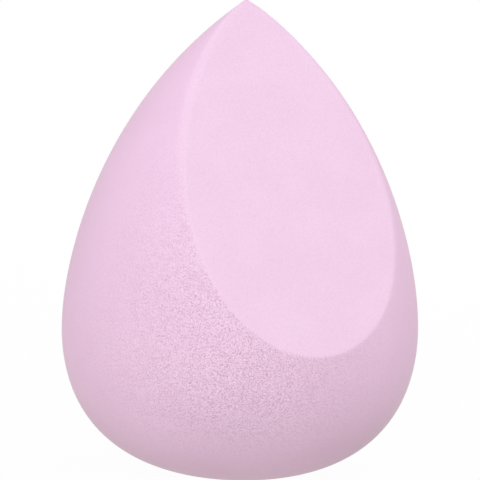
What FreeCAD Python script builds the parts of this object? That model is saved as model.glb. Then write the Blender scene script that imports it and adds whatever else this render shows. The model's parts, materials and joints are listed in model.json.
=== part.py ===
"""Makeup sponge: one block of soft foam, ground to a teardrop and sliced flat on a slant.

Lengths are in millimetres and angles in degrees. The origin is the middle of the flat that the
sponge stands on, +Z runs up its axis to the tip, and the slanted face looks towards -Y.
"""

import FreeCAD, Part
import math
import os

from FreeCAD import Vector

# Teardrop, with heights measured from the flat that it stands on
BELLY_DIAMETER = 45.4  # widest ring
BELLY_HEIGHT = 18.7  # of the widest ring
APEX_HEIGHT = 60.8  # point of the teardrop before it is sliced
APEX_HALF_ANGLE = 54.5  # slope of that point, from the axis
BASE_FLAT_DEPTH = 0.5  # crown of the rounded base that the flat takes away

# Fullness of the outline, as the lengths that its tangents run for or stop short by
BASE_SHORTFALL = 2.95  # the level tangent at the crown ends this far inside the belly
BELLY_RUN = 7.1  # the upright tangent at the belly ends this far below it
TIP_SHORTFALL = 4.55  # the sloping tangent at the point ends this far inside the belly

# Slanted face
SLICE_LEAN = 28.9  # lean of the face from upright
SLICE_BELOW_APEX = 1.7  # drop from the point to where the face crosses the axis
SLICE_EDGE_RADIUS = 0.6  # soft edge all round the face, as far as the tip has room for it

UP = Vector(0, 0, 1)
DOWN = Vector(0, 0, -1)


def outline_curve(*poles):
    """A cubic curve beside the axis, with poles given as distance out and height."""
    curve = Part.BezierCurve()
    curve.setPoles([Vector(0, -out, up) for out, up in poles])
    return curve.toBSpline()


def teardrop_outline():
    """Two curves: from the crown of the base out to the belly, and from there in to the point.

    The outline is level at the crown, upright at the belly and slopes at the half angle at the
    point. The tangent above the belly is as long as gives both curves the same curvature there.
    """
    radius = BELLY_DIAMETER / 2
    crown = -BASE_FLAT_DEPTH
    rise_above_belly = BELLY_RUN * math.sqrt(TIP_SHORTFALL / BASE_SHORTFALL)
    tip_reach = radius - TIP_SHORTFALL
    tip_drop = tip_reach / math.tan(math.radians(APEX_HALF_ANGLE))
    belly = (radius, BELLY_HEIGHT)
    base_to_belly = outline_curve(
        (0, crown), (radius - BASE_SHORTFALL, crown), (radius, BELLY_HEIGHT - BELLY_RUN), belly
    )
    belly_to_point = outline_curve(
        belly, (radius, BELLY_HEIGHT + rise_above_belly), (tip_reach, APEX_HEIGHT - tip_drop), (0, APEX_HEIGHT)
    )
    return base_to_belly, belly_to_point


def teardrop():
    """The outline and the axis, turned once round the axis.

    Each curve is turned as a row of tangent arcs that follow it to within a hair, because arcs
    make lighter faces.
    """
    hair = 0.02
    arcs = [arc.toShape() for curve in teardrop_outline() for arc in curve.toBiArcs(hair)]
    crown = Vector(0, 0, -BASE_FLAT_DEPTH)
    apex = Vector(0, 0, APEX_HEIGHT)
    section = Part.Face(Part.Wire([*arcs, Part.makeLine(apex, crown)]))
    return section.revolve(Vector(0, 0, 0), UP, 360)


def block_beyond(point, normal):
    """A block that lies against the plane through point, on the side that normal looks to."""
    reach = APEX_HEIGHT + BELLY_DIAMETER
    block = Part.makeBox(2 * reach, 2 * reach, reach, Vector(-reach, -reach, 0))
    block.Placement = FreeCAD.Placement(point, FreeCAD.Rotation(UP, normal))
    return block


def slice_normal():
    """Outward normal of the slanted face."""
    lean = math.radians(SLICE_LEAN)
    return Vector(0, -math.cos(lean), math.sin(lean))


def slice_edge_radius():
    """Radius of the soft edge, limited by the tip, where the slanted face is narrowest.

    The face cuts the point as it would a cone, so its edge turns round the tip with the radius
    tip_turn, between walls that meet at the lean plus the half angle. A soft edge of the radius
    room would use up that turn, and four fifths of it is the most that is taken.
    """
    lean = math.radians(SLICE_LEAN)
    half_angle = math.radians(APEX_HALF_ANGLE)
    tip_turn = SLICE_BELOW_APEX * math.sin(lean) * math.tan(half_angle)
    room = tip_turn * math.tan((lean + half_angle) / 2)
    return min(SLICE_EDGE_RADIUS, 4 / 5 * room)


def face_looking(shape, normal):
    """The flat face of the shape whose outward normal is the one given."""
    flat = [f for f in shape.Faces if isinstance(f.Surface, Part.Plane)]
    return max(flat, key=lambda f: f.normalAt(0, 0).dot(normal))


def sponge_body():
    """The teardrop with its base flattened, its front sliced off and the slice's edge softened."""
    body = teardrop()
    body = body.cut(block_beyond(Vector(0, 0, 0), DOWN))
    crossing = Vector(0, 0, APEX_HEIGHT - SLICE_BELOW_APEX)
    body = body.cut(block_beyond(crossing, slice_normal()))
    rim = face_looking(body, slice_normal()).Edges
    return body.makeFillet(slice_edge_radius(), rim).Solids[0]


def main():
    os.makedirs("parts", exist_ok=True)
    body = sponge_body()
    body.exportStep("parts/sponge_body.step")
    box = body.optimalBoundingBox(False, False)
    print("sponge_body", round(box.XLength, 2), round(box.YLength, 2), round(box.ZLength, 2))
    print("volume in cubic centimetres", round(body.Volume / 1000, 2))


if __name__ == "__main__":
    main()
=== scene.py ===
"""Makeup sponge: the foam body with its pores and its slanted cut face, on a white studio floor.

Lengths are in metres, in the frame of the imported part: +Z runs up the sponge's axis to its tip, and
the slanted face looks towards -Y.
"""

import json
import math
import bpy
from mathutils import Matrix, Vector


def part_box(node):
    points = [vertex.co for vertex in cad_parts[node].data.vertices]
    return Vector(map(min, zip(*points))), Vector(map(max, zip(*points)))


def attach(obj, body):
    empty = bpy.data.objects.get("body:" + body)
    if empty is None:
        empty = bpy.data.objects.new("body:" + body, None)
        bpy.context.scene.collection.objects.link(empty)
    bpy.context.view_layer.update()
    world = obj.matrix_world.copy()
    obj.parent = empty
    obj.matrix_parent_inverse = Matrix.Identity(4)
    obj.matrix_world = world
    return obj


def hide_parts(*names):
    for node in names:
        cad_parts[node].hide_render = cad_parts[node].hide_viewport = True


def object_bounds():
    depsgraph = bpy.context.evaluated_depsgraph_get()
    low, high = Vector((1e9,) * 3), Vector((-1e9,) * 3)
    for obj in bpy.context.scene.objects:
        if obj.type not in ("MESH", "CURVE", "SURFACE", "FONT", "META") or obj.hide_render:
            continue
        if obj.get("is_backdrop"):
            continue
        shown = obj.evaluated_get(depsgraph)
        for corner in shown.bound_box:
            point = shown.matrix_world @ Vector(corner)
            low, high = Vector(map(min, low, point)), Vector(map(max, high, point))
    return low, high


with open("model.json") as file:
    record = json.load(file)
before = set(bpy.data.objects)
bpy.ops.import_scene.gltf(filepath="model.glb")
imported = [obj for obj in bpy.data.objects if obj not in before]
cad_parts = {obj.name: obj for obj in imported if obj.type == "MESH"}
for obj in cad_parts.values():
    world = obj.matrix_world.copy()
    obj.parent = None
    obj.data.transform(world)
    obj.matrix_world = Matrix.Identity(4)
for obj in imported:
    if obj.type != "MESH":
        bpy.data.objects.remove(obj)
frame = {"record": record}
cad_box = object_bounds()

from types import SimpleNamespace

import bpy
import numpy as np
from bpy.props import FloatProperty, FloatVectorProperty, IntProperty, PointerProperty
from mathutils import Matrix, Vector

bl_info = {
    "name": "Makeup Sponge",
    "version": (1, 0, 0),
    "blender": (4, 5, 0),
    "location": "View3D > Sidebar > Sponge",
    "description": "Builds a teardrop make-up sponge with a slanted cut face, and its studio stage",
    "category": "Object",
}

MM = 0.001
NODE = "sponge_body"
SLICE = next(m for m in frame["record"]["mounts"] if m["name"] == "slanted_face")
BOX_LOW, BOX_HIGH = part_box(NODE)

# Turn between the walls that meet at the slanted face's edge, from 0 where they run on into each other
# to 1 where they meet squarely: the edge is whole from the first one up, and these of its features
# begin at the others
WHOLE_TURN = 0.45
ROUND_TURN = 0.04
BLUR_TURN = 0.15
# Turn at which the painted highlight along the slanted face's rim begins
RIM_HIGHLIGHT_TURN = 0.1

# The pale rim round the slanted face is a painted highlight, on top of the real rounding of the edge
RIM_HIGHLIGHT_WIDTH = 0.7 * MM  # of the pale rim round the slanted face
LEAST_BLUR = 0.06 * MM  # of the border between the two colours of foam
# The thin wall round a bubble is painted pale, a painted highlight
LIP_HIGHLIGHT_DEPTH = 0.35  # how far outside a bubble its lip goes, in the measure of a bubble's depth

SIDE_POWER = 3  # of the cosine with which the pores close from the front to the sides
BEHIND = (0.05, 0.35)  # the same cosine, less than nothing, over which they open again behind
# The pale flecks are painted highlights of lit cell walls
FLECK_HIGHLIGHT_SPACING = 0.87  # of the pale flecks, beside that of the finest pores
FINE_PORE = (0.1, 0.5)  # where the wall of a fine pore begins and ends, beside their spacing

MIDDLE = np.array([0.0, 1.0, 24.0]) * MM  # a point from which every ray leaves the body only once
HALVINGS = 26  # of the stretch of a ray that holds the surface


def length(name, description, default):
    """A property that holds a length in metres."""
    return FloatProperty(
        name=name,
        description=description,
        default=default,
        min=0.0,
        precision=5,
        subtype="DISTANCE",
        unit="LENGTH",
    )


def angle(name, description, degrees):
    """A property that holds an angle, with its default given in degrees."""
    return FloatProperty(
        name=name,
        description=description,
        default=math.radians(degrees),
        subtype="ANGLE",
        unit="ROTATION",
    )


def share(name, description, default):
    """A property that holds a part of one."""
    return FloatProperty(
        name=name, description=description, default=default, min=0.0, max=1.0, subtype="FACTOR"
    )


def colour(name, description, default):
    """A property that holds a colour as linear light."""
    return FloatVectorProperty(
        name=name, description=description, default=default, size=3, min=0.0, max=1.0, subtype="COLOR"
    )


class SpongeShape(bpy.types.PropertyGroup):
    """Sizes of the foam body."""

    belly_diameter: length("Belly diameter", "Across the widest ring", BOX_HIGH[0] - BOX_LOW[0])
    belly_height: length("Belly height", "Height of the widest ring", 18.7 * MM)
    apex_height: length("Apex height", "Point of the teardrop before it is sliced", 60.8 * MM)
    apex_half_angle: angle("Apex half angle", "Slope of that point, from the axis", 54.5)
    base_flat_depth: length("Base flat depth", "Crown of the base that the flat takes away", 0.5 * MM)
    base_shortfall: length("Base shortfall", "How far inside the belly the crown's tangent ends", 2.95 * MM)
    belly_run: length("Belly run", "How far below the belly its tangent ends", 7.1 * MM)
    tip_shortfall: length("Tip shortfall", "How far inside the belly the tip's tangent ends", 4.55 * MM)
    edge_depth: length("Edge depth", "Depth to which the slanted face's edge is rubbed round", 0.8 * MM)
    tip_edge_depth: length("Tip edge depth", "The same depth where the edge turns round the tip", 0.08 * MM)
    tip_reach: length("Tip reach", "How far down from the tip its sharper edge goes", 9.0 * MM)
    tip_draw: length("Tip draw", "How far the tip is drawn up to a sharper point", 0.32 * MM)
    tip_draw_reach: length("Tip draw reach", "How soon that dies away from the tip", 0.5 * MM)
    cells: IntProperty(name="Cells", description="Mesh cells along each side of the grid", default=360, min=8)


class SpongePores(bpy.types.PropertyGroup):
    """Sizes of the open cells that pit the foam's surface."""

    spacing: length("Bubble spacing", "Side of the block of foam that holds one bubble", 0.26 * MM)
    least_radius: length("Least radius", "Radius of the smallest bubbles", 0.06 * MM)
    greatest_radius: length("Greatest radius", "Of the bubbles, at most half the spacing", 0.13 * MM)
    depth: length("Depth", "Depth of a pit where a bubble is cut through its middle", 0.07 * MM)
    fine_size: length("Fine pore size", "Side of the block that holds one of the finest pores", 0.24 * MM)
    band_low: length("Band low", "Height above which the pores are fully open", 13 * MM)
    band_high: length("Band high", "Height above which the pores begin to close", 21 * MM)
    band_end: length("Band end", "Height above which the pores are nearly closed", 48 * MM)
    front: angle("Front", "Turn from the slanted face to where the pores are most open", -29.5)
    side_share: share("Side share", "Openness of the pores at the sides, beside the front", 0.08)
    tip_share: share("Tip share", "Openness of the pores at the tip, beside the band", 0.35)
    cut_share: share("Cut face share", "Openness of the pores on the slanted face", 0.2)


class FoamLook(bpy.types.PropertyGroup):
    """Colours and finish of the foam, with its painted shade and painted highlights."""

    body: colour("Body", "Outer surface", (0.855, 0.587, 0.79))
    cut: colour("Cut face", "Slanted face, paler than the outer surface", (0.899, 0.641, 0.837))
    # Painted shade colour for the pits and the finest pores, also the dark end of the mottle and grain
    pore: colour("Pore", "Inside of a pit", (0.59, 0.34, 0.5))
    # Painted highlight colour, for the walls round the pits, the flecks and the cut face's rim
    lip_highlight: colour("Lip", "Thin wall round a pit", (1.0, 0.82, 0.99))
    # Painted highlight along the rim of the cut face
    rim_highlight_share: share("Rim share", "Share of the lip's colour in the rim of the cut face", 0.16)
    mottle_size: length("Mottle size", "Distance between the swells of the broad mottle", 7 * MM)
    mottle_share: share("Mottle share", "Most of the pore's colour in the mottle", 0.05)
    grain_size: length("Grain size", "Distance between the swells of the fine grain", 0.22 * MM)
    grain_share: share("Grain share", "Most of the pore's colour in the grain", 0.07)
    # Painted highlight on the wall round a pit
    lip_highlight_share: share("Lip share", "Most of the lip's colour round a pit", 0.5)
    # Painted shade in a pit
    pit_shade_share: share("Pit share", "Most of the pore's colour in a pit", 0.6)
    # Painted highlight in a fleck
    fleck_highlight_share: share("Fleck share", "Most of the lip's colour in a fleck", 0.76)
    # Painted shade in one of the finest pores
    hole_shade_share: share("Hole share", "Most of the pore's colour in one of the finest pores", 0.62)
    bump: share("Bump", "Strength of the finest pores' relief", 0.7)
    bump_depth: length("Bump depth", "Depth of that relief", 0.06 * MM)
    roughness: share("Roughness", "Roughness of the foam", 0.95)
    gloss: share("Gloss", "Mirror light of the foam", 0.15)
    sheen: share("Sheen", "Soft bloom where the foam turns away", 0.24)
    sheen_roughness: share("Sheen roughness", "How broad that bloom is", 0.3)
    sheen_tint: colour("Sheen tint", "Colour of that bloom", (0.65, 0.83, 0.58))


class SpongeStage(bpy.types.PropertyGroup):
    """Camera, lamps and floor."""

    azimuth: angle("Azimuth", "Turn of the camera from the slanted face", -26.2)
    elevation: angle("Elevation", "Height of the camera over the horizon", 7.0)
    roll: angle("Roll", "Turn of the camera about its line of sight", 1.5)
    distance: length("Distance", "From the camera to the sponge's axis", 700 * MM)
    frame_width: length("Frame width", "Width of the picture at that distance", 61.04 * MM)
    aim_height: length("Aim height", "Height of the point on the axis that the camera looks at", 29.9 * MM)
    aim_right: length("Aim right", "How far right of the picture's middle that point shows", 0.28 * MM)
    ambient: FloatProperty(name="Ambient", description="Light from all round", default=0.25, min=0.0)
    floor: colour("Floor", "Pale floor", (0.9, 0.9, 0.9))
    floor_glow: share("Floor glow", "Even light that the pale floor throws back at the sponge", 0.635)
    glow_tint: colour("Glow tint", "Colour of that light, warmed by the sponge", (1.0, 0.99, 0.93))
    floor_white: share("Floor white", "Share of plain white that the camera sees by the sponge", 0.96)
    white_start: length("White start", "How far out the floor begins to turn wholly white", 50 * MM)
    white_end: length("White end", "How far out the floor is wholly white", 300 * MM)
    floor_reach: length("Floor reach", "From the sponge to each side of the floor", 4.0)


def bezier(poles, count):
    """Points on the cubic curve of four poles, at count even steps of its parameter."""
    t = np.linspace(0.0, 1.0, count)[:, None]
    a, b, c, d = np.asarray(poles, float)
    return (1 - t) ** 3 * a + 3 * t * (1 - t) ** 2 * b + 3 * t**2 * (1 - t) * c + t**3 * d


def outline(shape, count=800):
    """The teardrop's radius, with the cosine and sine of its slope, over height.

    Two cubic curves meet at the belly with one curvature. The lower one is level at the crown of the
    base and upright at the belly, and the upper one ends at the point with the half angle's slope.
    """
    radius = shape.belly_diameter / 2
    crown = -shape.base_flat_depth
    rise = shape.belly_run * math.sqrt(shape.tip_shortfall / shape.base_shortfall)
    tip_reach = radius - shape.tip_shortfall
    belly = (radius, shape.belly_height)
    lower = [
        (0, crown),
        (radius - shape.base_shortfall, crown),
        (radius, shape.belly_height - shape.belly_run),
        belly,
    ]
    upper = [
        belly,
        (radius, shape.belly_height + rise),
        (tip_reach, shape.apex_height - tip_reach / math.tan(shape.apex_half_angle)),
        (0, shape.apex_height),
    ]
    curve = np.vstack([bezier(lower, count), bezier(upper, count)[1:]])
    along = np.gradient(curve, axis=0)
    along /= np.linalg.norm(along, axis=1, keepdims=True)
    return SimpleNamespace(
        height=curve[:, 1], radius=curve[:, 0], cosine=along[:, 1], sine=-along[:, 0]
    )


def smoothstep(low, high, x):
    """0 below low, 1 above high and a smooth rise between."""
    t = np.clip((x - low) / (high - low), 0.0, 1.0)
    return t * t * (3 - 2 * t)


def walls(points, line):
    """How far each point stands out of the teardrop's side and of the slanted face, and their turn.

    The turn is one less the cosine of the angle between the normals of the two: 0 where they run on
    into each other and 1 where they meet squarely.
    """
    x, y, z = points.T
    from_axis = np.maximum(np.hypot(x, y), 1e-9)
    cosine = np.interp(z, line.height, line.cosine)
    sine = np.interp(z, line.height, line.sine)
    side = (from_axis - np.interp(z, line.height, line.radius)) * cosine
    face = np.asarray(SLICE["axis"])
    cut = (points - np.asarray(SLICE["pos_m"])) @ face
    turn = 1 - (x * face[0] + y * face[1]) / from_axis * cosine - face[2] * sine
    return side, cut, turn


def body_distance(points, line, shape):
    """How far each point stands out of the sponge, less than zero inside.

    The teardrop's side and the slice's plane each give a distance, and where both are less deep than
    the edge a quarter round joins them. The edge is deeper where the walls meet more sharply. Near the
    tip it changes to a depth of its own, wholly so in the last quarter of the tip's reach. The flat of
    the base cuts the result off.
    """
    side, cut, turn = walls(points, line)
    z = points[:, 2]
    top = line.height[-1]
    tip = smoothstep(top - shape.tip_reach, top - shape.tip_reach / 4, z)
    depth = shape.edge_depth * smoothstep(ROUND_TURN, WHOLE_TURN, turn)
    depth += (shape.tip_edge_depth - depth) * tip
    corner = np.hypot(np.maximum(side + depth, 0), np.maximum(cut + depth, 0)) - depth
    deeper = np.minimum(np.maximum(side, cut) + depth, 0)
    return np.maximum(corner + deeper, -z)


def cube_grid(cells):
    """Directions over a whole ball, as a square grid on each side of a cube.

    The two parameters of a side run from -45 to 45 degrees in even steps, and their tangents are the
    places on the side. Points on the cube's edges are shared. Returns the directions, the four points
    of each cell and each cell's corners on a map that holds the sides in three columns and two rows.
    """
    i, j = np.meshgrid(np.arange(cells + 1), np.arange(cells + 1), indexing="ij")
    lattice = []
    for axis in range(3):
        for far in (0, cells):
            spot = np.empty((cells + 1, cells + 1, 3), np.int64)
            first, second = (axis + 1) % 3, (axis + 2) % 3
            spot[..., axis] = far
            spot[..., first] = i if far else j
            spot[..., second] = j if far else i
            lattice.append(spot)
    lattice = np.concatenate([s.reshape(-1, 3) for s in lattice])
    code = lattice @ np.array([(cells + 1) ** 2, cells + 1, 1])
    _, where, index = np.unique(code, return_index=True, return_inverse=True)
    place = np.tan((2 * lattice[where] / cells - 1) * math.pi / 4)
    index = index.reshape(6, cells + 1, cells + 1)
    quads = np.stack(
        [index[:, :-1, :-1], index[:, 1:, :-1], index[:, 1:, 1:], index[:, :-1, 1:]], -1
    )
    gap = 0.006  # left clear round each side on the map
    spread = gap + (1 - 2 * gap) * np.stack([i, j], -1) / cells
    side = np.arange(6)
    tile = np.stack([side % 3, side // 3], -1)[:, None, None, :]
    uv = (tile + spread) / np.array([3, 2])
    corners = np.stack([uv[:, :-1, :-1], uv[:, 1:, :-1], uv[:, 1:, 1:], uv[:, :-1, 1:]], -2)
    return place, quads.reshape(-1, 4), corners.reshape(-1, 2)


def sponge_points(shape, place, line):
    """Where the ray from the middle of the sponge along each direction leaves the body.

    The distance out of the body rises along each ray, so halving the stretch that holds its zero
    finds the crossing.
    """
    stretch = np.array([1.0, 1.0, line.height[-1] / shape.belly_diameter])
    ray = place * stretch
    ray /= np.linalg.norm(ray, axis=1, keepdims=True)
    near = np.zeros(len(ray))
    far = np.full(len(ray), line.height[-1])
    for _ in range(HALVINGS):
        half = (near + far) / 2
        outside = body_distance(MIDDLE + ray * half[:, None], line, shape) > 0
        far = np.where(outside, half, far)
        near = np.where(outside, near, half)
    return MIDDLE + ray * near[:, None]


def outward(points, line, shape):
    """The body's normal at each point: the slope of the distance out of it, over a short step."""
    step = 0.02 * MM
    ahead = [body_distance(points + step * side, line, shape) for side in np.eye(3)]
    behind = [body_distance(points - step * side, line, shape) for side in np.eye(3)]
    slope = np.stack(ahead, -1) - np.stack(behind, -1)
    return slope / np.linalg.norm(slope, axis=1, keepdims=True)


def scatter(cell, seed):
    """A number from 0 to 1 for each whole-numbered cell, as good as random and always the same.

    Large odd factors and shifts mix the cell's three numbers and the seed into one.
    """
    x = cell.astype(np.uint32) * np.array([73856093, 19349663, 83492791], np.uint32)
    n = x[:, 0] ^ x[:, 1] ^ x[:, 2] ^ np.uint32(seed * 2654435761 % 2**32)
    for shift, factor in ((16, 0x7FEB352D), (15, 0x846CA68B), (16, 1)):
        n = (n ^ (n >> np.uint32(shift))) * np.uint32(factor)
    return n / 2.0**32


def bubbles(points, pores):
    """How deep each point lies in the foam's bubbles, from 0 outside them to 1 at a middle.

    Space is cut into blocks, each with one bubble at a random place and of a random size. Within a
    bubble the depth is one less the squared share of its radius, and the deepest bubble counts.
    """
    at = points / pores.spacing
    home = np.floor(at - 0.5).astype(np.int64)
    deepest = np.full(len(points), -1.0)
    least, greatest = pores.least_radius / pores.spacing, pores.greatest_radius / pores.spacing
    for step in np.ndindex(2, 2, 2):
        block = home + np.array(step)
        middle = block + np.stack([scatter(block, s) for s in (1, 2, 3)], -1)
        radius = least + (greatest - least) * scatter(block, 4)
        apart = ((at - middle) ** 2).sum(1)
        deepest = np.maximum(deepest, 1 - apart / radius**2)
    return deepest


def openness(points, on_cut, pores):
    """How open the pores are, from 0 to 1.

    They are open in a band round the belly, and more so in front and behind than at the two sides.
    Towards a side they close in front with a power of the cosine of the turn from the front, and
    behind it they open again over a short stretch of that cosine. They close towards the base and
    the tip, and the slanted face has a share of its own.
    """
    x, y, z = points.T
    facing = np.cos(np.arctan2(x, -y) - pores.front)
    behind = smoothstep(*BEHIND, -facing)
    either = np.where(facing > 0, facing**SIDE_POWER, behind)
    around = pores.side_share + (1 - pores.side_share) * either
    upper = 1 - (1 - pores.tip_share) * smoothstep(pores.band_high, pores.band_end, z)
    lower = smoothstep(0.0, pores.band_low, z)
    return around * upper * lower * (1 - on_cut) + pores.cut_share * on_cut


def skin(points, normals, line, shape, pores):
    """The points sunk into the bubbles that the surface cuts, with values that the colours follow.

    pit is how deep a point lies in a bubble, and the colours darken with it as painted shade; lip is the thin
    wall round one, painted pale as a highlight; open is how open the pores are, cut is 1 on the slanted face
    and edge is 1 along its rim, where a pale painted highlight lies. A point on one wall lies under the other
    by its distance from their edge times the sine of the angle between the walls, and the rim's painted
    highlight falls off with the square of that distance.
    """
    side, cut, turn = walls(points, line)
    blur = LEAST_BLUR + shape.edge_depth * smoothstep(BLUR_TURN, WHOLE_TURN, turn)
    on_cut = smoothstep(-blur, blur, cut - side)
    sine = np.sqrt(np.clip(turn * (2 - turn), 0.01, 1))
    from_edge = np.maximum(-side, -cut) / sine
    # Mask of the painted highlight along the rim of the slanted face
    edge = np.exp(-((from_edge / RIM_HIGHLIGHT_WIDTH) ** 2)) * smoothstep(RIM_HIGHLIGHT_TURN, WHOLE_TURN, turn)
    open_ = openness(points, on_cut, pores)
    bubble = bubbles(points, pores)
    # pit sinks the points into the bubbles and also sets the painted shade of the colours
    pit = np.maximum(bubble, 0) * open_
    # Mask of the painted highlight on the thin wall round each pit
    lip_highlight = np.clip(1 - np.abs(bubble / LIP_HIGHLIGHT_DEPTH + 0.5) * 2, 0, 1) * open_
    sunk = points - normals * (pores.depth * pit)[:, None]
    return sunk, {"pit": pit, "lip_highlight": lip_highlight, "open": open_, "cut": on_cut, "edge": edge}


def drawn_tip(points, shape):
    """The points with the tip drawn up to a sharper point.

    Each point rises by the draw, less the further it is from the highest point: the draw is divided
    by e for each length of the reach.
    """
    away = np.linalg.norm(points - points[points[:, 2].argmax()], axis=1)
    rise = shape.tip_draw * np.exp(-away / shape.tip_draw_reach)
    return points + rise[:, None] * np.array([0.0, 0.0, 1.0])


def mesh_object(name, points, quads, corners, attributes):
    """A smooth mesh object of four-sided faces, with a map and a value at each point per attribute."""
    mesh = bpy.data.meshes.new(name)
    mesh.vertices.add(len(points))
    mesh.vertices.foreach_set("co", points.astype(np.float32).ravel())
    mesh.loops.add(quads.size)
    mesh.loops.foreach_set("vertex_index", quads.astype(np.int32).ravel())
    mesh.polygons.add(len(quads))
    mesh.polygons.foreach_set("loop_start", np.arange(0, quads.size, 4, dtype=np.int32))
    mesh.update(calc_edges=True)
    mesh.polygons.foreach_set("use_smooth", np.ones(len(quads), bool))
    layer = mesh.uv_layers.new(name="OFBake", do_init=False)
    layer.uv.foreach_set("vector", corners.astype(np.float32).ravel())
    for key, values in attributes.items():
        mesh.attributes.new(key, "FLOAT", "POINT").data.foreach_set("value", values.astype(np.float32))
    if mesh.validate():
        raise RuntimeError(f"{name}: the mesh has faults")
    made = bpy.data.objects.new(name, mesh)
    bpy.context.collection.objects.link(made)
    return made


def add_node(tree, kind, **settings):
    """A new node of the tree, with its own settings."""
    node = tree.nodes.new(kind)
    for key, value in settings.items():
        setattr(node, key, value)
    return node


def feed(tree, socket, value):
    """Gives the socket a value: a link from another socket, or a plain number or colour."""
    if isinstance(value, bpy.types.NodeSocket):
        tree.links.new(value, socket)
    else:
        socket.default_value = value


def mix_colours(tree, factor, first, second):
    """A colour that goes from the first to the second with the factor."""
    node = add_node(tree, "ShaderNodeMix", data_type="RGBA")
    # The node has sockets for each kind of value, and its colours are the numbered ones here
    feed(tree, node.inputs["Factor"], factor)
    feed(tree, node.inputs[6], first)
    feed(tree, node.inputs[7], second)
    return node.outputs[2]


def ramp(tree, value, low, high, start, end):
    """A smooth change from start to end, while the value goes from low to high."""
    node = add_node(tree, "ShaderNodeMapRange", interpolation_type="SMOOTHSTEP")
    tree.links.new(value, node.inputs["Value"])
    for key, number in (("From Min", low), ("From Max", high), ("To Min", start), ("To Max", end)):
        node.inputs[key].default_value = number
    return node.outputs["Result"]


def noise(tree, coordinates, wavelength, detail=2.0):
    """Even noise on the object's coordinates, with the given distance between its swells."""
    node = add_node(tree, "ShaderNodeTexNoise")
    node.inputs["Scale"].default_value = 1 / wavelength
    node.inputs["Detail"].default_value = detail
    tree.links.new(coordinates, node.inputs["Vector"])
    return node.outputs["Fac"]


def nearest_cell(tree, coordinates, size):
    """How far the nearest of many random points is, one in each block of the given size."""
    node = add_node(tree, "ShaderNodeTexVoronoi")
    node.inputs["Scale"].default_value = 1 / size
    tree.links.new(coordinates, node.inputs["Vector"])
    return node.outputs["Distance"]


def times(tree, first, second):
    """The product of two values, each a socket or a number."""
    node = add_node(tree, "ShaderNodeMath", operation="MULTIPLY")
    feed(tree, node.inputs[0], first)
    feed(tree, node.inputs[1], second)
    return node.outputs[0]


def foam_material(look, pores):
    """Soft open-cell foam, pale on the cut face, with painted highlights along its rim and on the pit walls,
    and darker in the pores as painted shade.

    Noise gives a broad mottle and a fine grain. The finest pores lie round one set of random points, darker
    as painted shade, and pale flecks, painted highlights, round another, a little closer together.
    """
    material = bpy.data.materials.new("foam")
    material.use_nodes = True
    tree = material.node_tree
    shader = tree.nodes["Principled BSDF"]
    coordinates = add_node(tree, "ShaderNodeTexCoord").outputs["Object"]
    names = ("pit", "lip_highlight", "open", "cut", "edge")
    pit, lip_highlight, open_, cut, edge = (
        add_node(tree, "ShaderNodeAttribute", attribute_name=name).outputs["Fac"] for name in names
    )
    # dark is the painted shade colour of the pits and pores and the dark end of the mottle and grain; pale is
    # the painted highlight colour
    dark, pale = (*look.pore, 1), (*look.lip_highlight, 1)

    base = mix_colours(tree, cut, (*look.body, 1), (*look.cut, 1))
    # Painted highlight: paler along the rounded rim of the slanted face
    base = mix_colours(tree, times(tree, edge, look.rim_highlight_share), base, pale)
    mottle = noise(tree, coordinates, look.mottle_size)
    base = mix_colours(tree, ramp(tree, mottle, 0.35, 0.65, 0.0, look.mottle_share), base, dark)
    grain = noise(tree, coordinates, look.grain_size, 1.0)
    base = mix_colours(tree, ramp(tree, grain, 0.45, 0.75, 0.0, look.grain_share), base, dark)
    # Painted highlight: paler on the thin wall round each pit
    base = mix_colours(tree, ramp(tree, lip_highlight, 0.0, 1.0, 0.0, look.lip_highlight_share), base, pale)
    # Painted shade: darker in the pits, where shade falls
    base = mix_colours(tree, ramp(tree, pit, 0.1, 0.8, 0.0, look.pit_shade_share), base, dark)
    # Painted highlights: pale flecks that stand for lit cell walls
    fleck_highlight = nearest_cell(tree, coordinates, FLECK_HIGHLIGHT_SPACING * pores.fine_size)
    fleck_highlight = ramp(tree, fleck_highlight, *FINE_PORE, look.fleck_highlight_share, 0.0)
    base = mix_colours(tree, times(tree, fleck_highlight, open_), base, pale)
    # The finest pores give the bump's relief and, as painted shade, a darker colour
    hole = ramp(tree, nearest_cell(tree, coordinates, pores.fine_size), *FINE_PORE, 1.0, 0.0)
    hole = times(tree, hole, open_)
    base = mix_colours(tree, times(tree, hole, look.hole_shade_share), base, dark)
    tree.links.new(base, shader.inputs["Base Color"])

    bump = add_node(tree, "ShaderNodeBump", invert=True)
    bump.inputs["Strength"].default_value = look.bump
    bump.inputs["Distance"].default_value = look.bump_depth
    tree.links.new(hole, bump.inputs["Height"])
    tree.links.new(bump.outputs["Normal"], shader.inputs["Normal"])
    shader.inputs["Roughness"].default_value = look.roughness
    shader.inputs["Specular IOR Level"].default_value = look.gloss
    shader.inputs["Sheen Weight"].default_value = look.sheen
    shader.inputs["Sheen Roughness"].default_value = look.sheen_roughness
    shader.inputs["Sheen Tint"].default_value = (*look.sheen_tint, 1)
    return material


class SPONGE_OT_body(bpy.types.Operator):
    """Makes the foam body: a teardrop with a slanted cut face, pitted all over with open cells."""

    bl_idname = "sponge.body"
    bl_label = "Foam body"

    def execute(self, context):
        scene = context.scene
        shape = scene.sponge_shape
        cells = shape.cells
        place, quads, corners = cube_grid(cells)
        line = outline(shape)
        smooth = sponge_points(shape, place, line)
        normals = outward(smooth, line, shape)
        points, values = skin(smooth, normals, line, shape, scene.sponge_pores)
        points = drawn_tip(points, shape)
        body = mesh_object("foam_body", points, quads, corners, values)
        body.data.materials.append(foam_material(scene.sponge_look, scene.sponge_pores))
        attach(body, "root")
        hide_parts(NODE)
        return {"FINISHED"}


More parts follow.
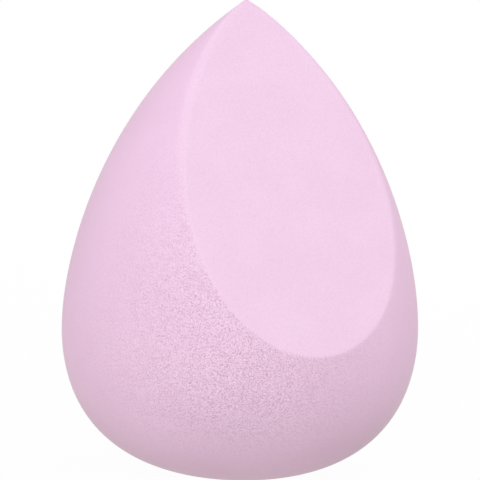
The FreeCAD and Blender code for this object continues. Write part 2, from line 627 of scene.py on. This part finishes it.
# Lamps: turn from the slanted face and height over the horizon in degrees, and power in watts
LAMPS = {
    "key": (-30, 18, 1.51),
    "top": (20, 51, 1.03),
    "right": (92, 27, 0.9),
    "left": (-95, 23, 0.86),
    "back_left": (-150, 40, 0.77),
    "back_right": (120, 55, 0.42),
}
LAMP_DISTANCE = 0.6  # from the middle of the sponge
LAMP_SIDE = 0.33  # of its square


def direction(azimuth, elevation):
    """The way to a place at that turn from the slanted face and that height over the horizon."""
    level = math.cos(elevation)
    return Vector((math.sin(azimuth) * level, -math.cos(azimuth) * level, math.sin(elevation)))


def add_lamp(name, azimuth, elevation, power):
    """A square soft lamp that looks at the middle of the sponge and doesn't show itself."""
    data = bpy.data.lights.new(name, "AREA")
    data.shape = "SQUARE"
    data.size = LAMP_SIDE
    data.energy = power
    lamp = bpy.data.objects.new(name, data)
    middle = Vector((0, 0, (BOX_LOW[2] + BOX_HIGH[2]) / 2))
    away = direction(math.radians(azimuth), math.radians(elevation))
    lamp.location = middle + LAMP_DISTANCE * away
    lamp.rotation_euler = (-away).to_track_quat("-Z", "Y").to_euler()
    lamp.visible_camera = False
    bpy.context.collection.objects.link(lamp)


def seen_directly(tree):
    """1 where a ray comes from the camera, from a gloss or through a clear thing, and 0 otherwise."""
    path = add_node(tree, "ShaderNodeLightPath")
    total = path.outputs["Is Camera Ray"]
    for key in ("Is Glossy Ray", "Is Transmission Ray"):
        most = add_node(tree, "ShaderNodeMath", operation="MAXIMUM")
        tree.links.new(total, most.inputs[0])
        tree.links.new(path.outputs[key], most.inputs[1])
        total = most.outputs[0]
    return total


def mix_shaders(tree, factor, first, second):
    """A shader that goes from the first to the second with the factor."""
    node = add_node(tree, "ShaderNodeMixShader")
    for socket, value in zip(node.inputs, (factor, first, second)):
        tree.links.new(value, socket)
    return node.outputs[0]


def make_world(ambient):
    """Even light from all round, and white behind the sponge."""
    world = bpy.data.worlds.new("studio")
    world.use_nodes = True
    tree = world.node_tree
    soft = tree.nodes["Background"]
    soft.inputs["Color"].default_value = (1, 1, 1, 1)
    soft.inputs["Strength"].default_value = ambient
    white = add_node(tree, "ShaderNodeBackground")
    white.inputs["Color"].default_value = (1, 1, 1, 1)
    both = mix_shaders(tree, seen_directly(tree), soft.outputs[0], white.outputs[0])
    tree.links.new(both, tree.nodes["World Output"].inputs["Surface"])
    bpy.context.scene.world = world


def floor_material(stage):
    """Pale matt floor that shows as white with a trace of the shadow on it.

    To the sponge it is an even glow, like a white table that is lit from all sides, so that no dark
    line forms where the sponge stands on it. Further out it is wholly white, so no horizon shows.
    """
    material = bpy.data.materials.new("floor")
    material.use_nodes = True
    material.cycles.emission_sampling = "NONE"
    tree = material.node_tree
    matt = tree.nodes["Principled BSDF"]
    matt.inputs["Base Color"].default_value = (*stage.floor, 1)
    matt.inputs["Roughness"].default_value = 1.0
    matt.inputs["Specular IOR Level"].default_value = 0.0
    glow = add_node(tree, "ShaderNodeEmission", name="glow")
    glow.inputs["Color"].default_value = (*stage.glow_tint, 1)
    glow.inputs["Strength"].default_value = stage.floor_glow
    white = add_node(tree, "ShaderNodeEmission", name="white")
    white.inputs["Strength"].default_value = 1.0
    from_foam = add_node(tree, "ShaderNodeLightPath").outputs["Is Diffuse Ray"]
    surface = mix_shaders(tree, from_foam, matt.outputs[0], glow.outputs[0])
    from_axis = add_node(tree, "ShaderNodeVectorMath", operation="LENGTH")
    tree.links.new(add_node(tree, "ShaderNodeTexCoord").outputs["Object"], from_axis.inputs[0])
    distance = from_axis.outputs["Value"]
    whiteness = ramp(tree, distance, stage.white_start, stage.white_end, stage.floor_white, 1.0)
    seen = times(tree, seen_directly(tree), whiteness)
    surface = mix_shaders(tree, seen, surface, white.outputs[0])
    tree.links.new(surface, tree.nodes["Material Output"].inputs["Surface"])
    return material


def make_floor(stage):
    """A broad level sheet under the sponge."""
    corners = np.array([(-1, -1, 0), (1, -1, 0), (1, 1, 0), (-1, 1, 0)]) * stage.floor_reach
    mesh = bpy.data.meshes.new("floor")
    mesh.from_pydata(corners.tolist(), [], [(0, 1, 2, 3)])
    floor = bpy.data.objects.new("floor", mesh)
    mesh.materials.append(floor_material(stage))
    bpy.context.collection.objects.link(floor)
    floor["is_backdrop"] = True


def make_camera(stage):
    """A long lens that looks at the sponge's axis from the photograph's side."""
    data = bpy.data.cameras.new("camera")
    data.sensor_width = 36.0
    data.lens = data.sensor_width * stage.distance / stage.frame_width
    camera = bpy.data.objects.new("camera", data)
    back = direction(stage.azimuth, stage.elevation)
    turn = (-back).to_track_quat("-Z", "Y").to_matrix() @ Matrix.Rotation(stage.roll, 3, "Z")
    aim = Vector((0, 0, stage.aim_height)) - turn.col[0] * stage.aim_right
    camera.matrix_world = Matrix.Translation(aim + back * stage.distance) @ turn.to_4x4()
    data.clip_end = 100.0
    bpy.context.collection.objects.link(camera)
    bpy.context.scene.camera = camera


class SPONGE_OT_stage(bpy.types.Operator):
    """Makes the white floor, the soft lamps, the light from all round and the camera."""

    bl_idname = "sponge.stage"
    bl_label = "Stage"

    def execute(self, context):
        stage = context.scene.sponge_stage
        make_world(stage.ambient)
        make_floor(stage)
        for name, settings in LAMPS.items():
            add_lamp(name, *settings)
        make_camera(stage)
        context.scene.view_settings.view_transform = "Standard"
        return {"FINISHED"}


class SPONGE_PT_panel(bpy.types.Panel):
    """Lists the sizes and colours, with a button for each step."""

    bl_idname = "SPONGE_PT_panel"
    bl_label = "Makeup sponge"
    bl_space_type = "VIEW_3D"
    bl_region_type = "UI"
    bl_category = "Sponge"

    def draw(self, context):
        for name, _ in GROUPS:
            box = self.layout.box()
            group = getattr(context.scene, name)
            for key in group.__annotations__:
                box.prop(group, key)
        for operator in (SPONGE_OT_body, SPONGE_OT_stage):
            self.layout.operator(operator.bl_idname)


GROUPS = (
    ("sponge_shape", SpongeShape),
    ("sponge_pores", SpongePores),
    ("sponge_look", FoamLook),
    ("sponge_stage", SpongeStage),
)
CLASSES = (*(group for _, group in GROUPS), SPONGE_OT_body, SPONGE_OT_stage, SPONGE_PT_panel)


def register():
    for each in CLASSES:
        bpy.utils.register_class(each)
    for name, group in GROUPS:
        setattr(bpy.types.Scene, name, PointerProperty(type=group))


def unregister():
    for name, _ in GROUPS:
        delattr(bpy.types.Scene, name)
    for each in reversed(CLASSES):
        bpy.utils.unregister_class(each)


def main():
    register()
    bpy.ops.sponge.body()
    bpy.ops.sponge.stage()
    boxes = {"cad": cad_box, "visual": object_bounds()}
    boxes = {key: [list(corner) for corner in box] for key, box in boxes.items()}


if __name__ == "__main__":
    main()
